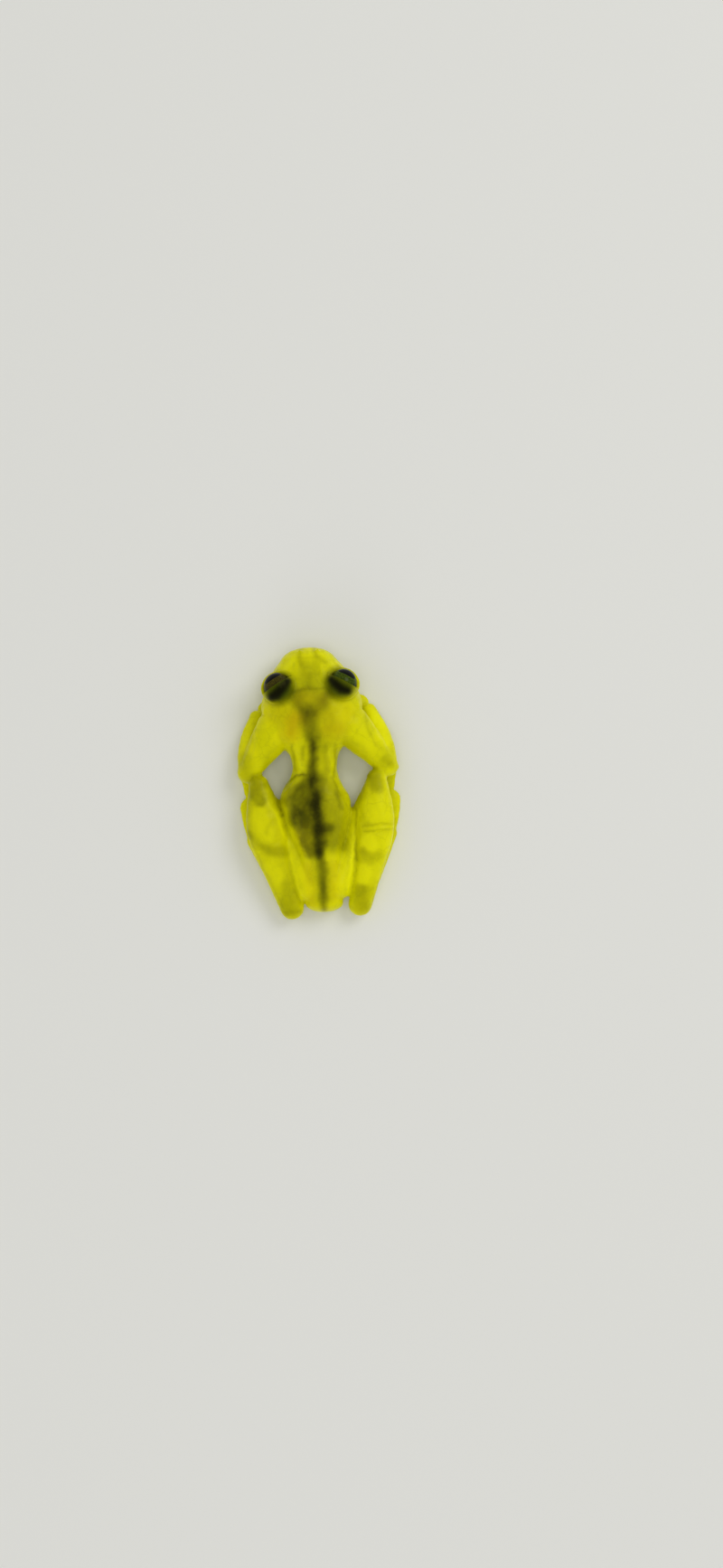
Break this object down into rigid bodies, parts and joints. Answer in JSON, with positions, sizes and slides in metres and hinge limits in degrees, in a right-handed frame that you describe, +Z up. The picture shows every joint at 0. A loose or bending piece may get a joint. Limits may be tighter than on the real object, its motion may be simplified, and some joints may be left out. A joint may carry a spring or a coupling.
{
  "type": "glass frog",
  "caption": "Life-size glass frog asleep flat on its belly, with folded limbs, disc-tipped digits and a see-through yellow-green skin over a dark spine.",
  "frame": {"origin": "on the ground plane under the middle of the whole frog", "axes": "+Z up from the belly to the back, the snout points along -Y, and the frog's left side is +X"},
  "size_m": [0.0154, 0.0256, 0.0064],
  "materials": {
    "skin": "moist, soft and slightly see-through",
    "eye": "wet gloss"
  },
  "bodies": {
    "root": {"head": "skin", "torso": "skin", "eye_left": "eye", "eye_right": "eye", "upper_arm_left": "skin", "forearm_left": "skin", "hand_left": "skin", "thigh_left": "skin", "shank_left": "skin", "tarsus_left": "skin", "foot_left": "skin", "upper_arm_right": "skin", "forearm_right": "skin", "hand_right": "skin", "thigh_right": "skin", "shank_right": "skin", "tarsus_right": "skin", "foot_right": "skin"}
  },
  "joints": []
}
